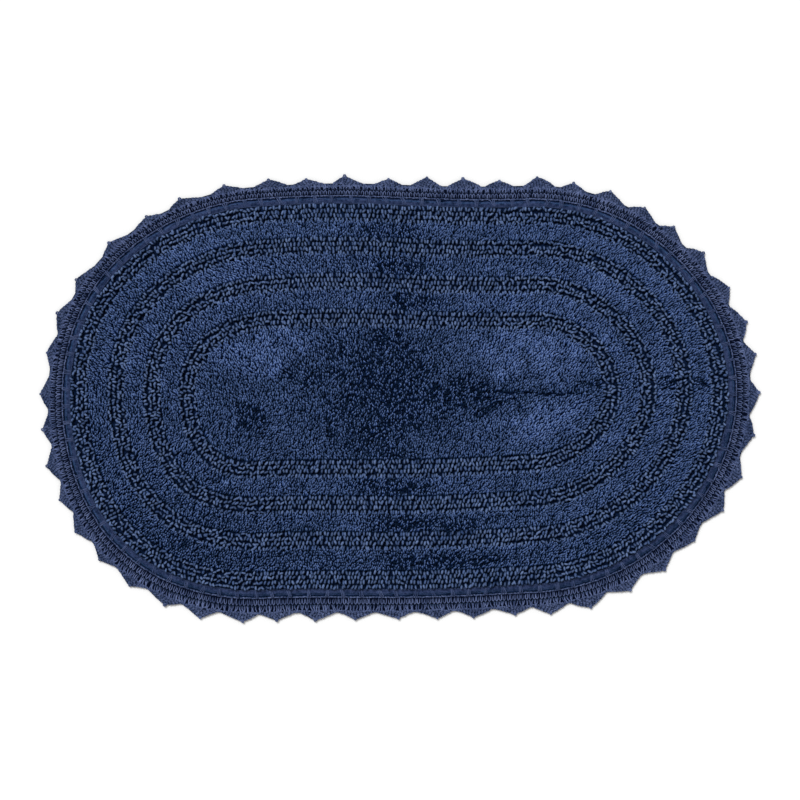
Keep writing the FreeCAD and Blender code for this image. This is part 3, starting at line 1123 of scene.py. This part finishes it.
def make_bars(outer, finish, chance):
    """Bars of three strands that cross the tape, fan out a little and tie the lace to it."""
    inner = outline_of("needle_thread").reach
    line = Oval(TAPE.centre, TAPE.straight_half, (inner + outer) / 2)
    bar = Template(straight_strand(outer - inner, 0.5 * MM, BAR_YARN))
    level = UP * (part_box("binding_tape")[1].z + BAR_LIFT)
    plants = []
    for number in range(BAR_COUNT):
        slant = chance.gauss(0.05, 0.2)
        share = (number + 0.5 + chance.uniform(-0.1, 0.1)) / BAR_COUNT
        tone = chance.uniform(0.0, 0.3)
        for side in (-1, 0, 1):
            place, outward = line.at(share, TAPE)
            across = UP.cross(outward) * side * chance.uniform(1.2, 2.0) * MM
            turn = math.atan2(outward.y, outward.x) + slant + side * chance.gauss(0.08, 0.12)
            laid = lying(place + across + level, turn)
            plants.append((0, laid, tone + chance.uniform(-0.2, 0.25)))
    finished(planted("crochet_bars", [bar], plants), ["crochet_bars"], finish)


def make_lace():
    finish = cotton_yarn("lace_cotton", 1.9, LACE_LEVEL, (0.2 * MM, 0.62 * MM), LACE_COLOURS)
    chance = random.Random(47)
    start = make_foundation_chain(finish, chance)
    first, second = outline_of("header_row_1"), outline_of("header_row_2")
    first = first.inset(-LACE_RELAXED * 0.3)
    second = second.inset(-LACE_RELAXED)
    make_header_row(start, first, finish, chance)
    make_points(first, second, finish, chance)
    make_bars(start.reach, finish, chance)


def studio():
    """A pale floor, one large soft light from the upper left, and a soft fill from all round."""
    ground = bmesh.new()
    bmesh.ops.create_grid(ground, x_segments=1, y_segments=1, size=4.0)
    mesh = mesh_of(ground, "floor")
    floor = in_scene("floor", mesh)
    pale = Finish("pale_floor", 0.9, 0.0)
    pale.colour(FLOOR_GREY)
    mesh.materials.append(pale.material)
    world = bpy.data.worlds.new("studio")
    world.use_nodes = True
    sky = world.node_tree.nodes["Background"]
    sky.inputs["Color"].default_value = (1, 1, 1, 1)
    sky.inputs["Strength"].default_value = FILL_LIGHT
    bpy.context.scene.world = world
    lamp = bpy.data.lights.new("key", "SUN")
    lamp.angle = KEY_SPREAD
    lamp.energy = KEY_LIGHT
    light = in_scene("key", lamp)
    turn = KEY_FROM.to_track_quat("Z", "Y").to_matrix().to_4x4()
    light.matrix_world = Matrix.Translation(KEY_FROM) @ turn


def camera():
    """A long lens straight over the mat, which lies turned a little in the picture."""
    lens = bpy.data.cameras.new("camera")
    lens.lens = LENS
    lens.sensor_width = SENSOR
    view = in_scene("camera", lens)
    turned = Matrix.Rotation(VIEW_TURN, 4, "Z")
    middle = turned @ Vector((*VIEW_CENTRE, VIEW_WIDTH * LENS / SENSOR + VIEW_LEVEL))
    view.matrix_world = Matrix.Translation(middle) @ turned
    bpy.context.scene.camera = view
    bpy.context.scene.view_settings.view_transform = "Standard"


camera()
studio()
make_pile()
make_backs()
make_ground_cloth()
make_tape()
make_seam()
make_lace()
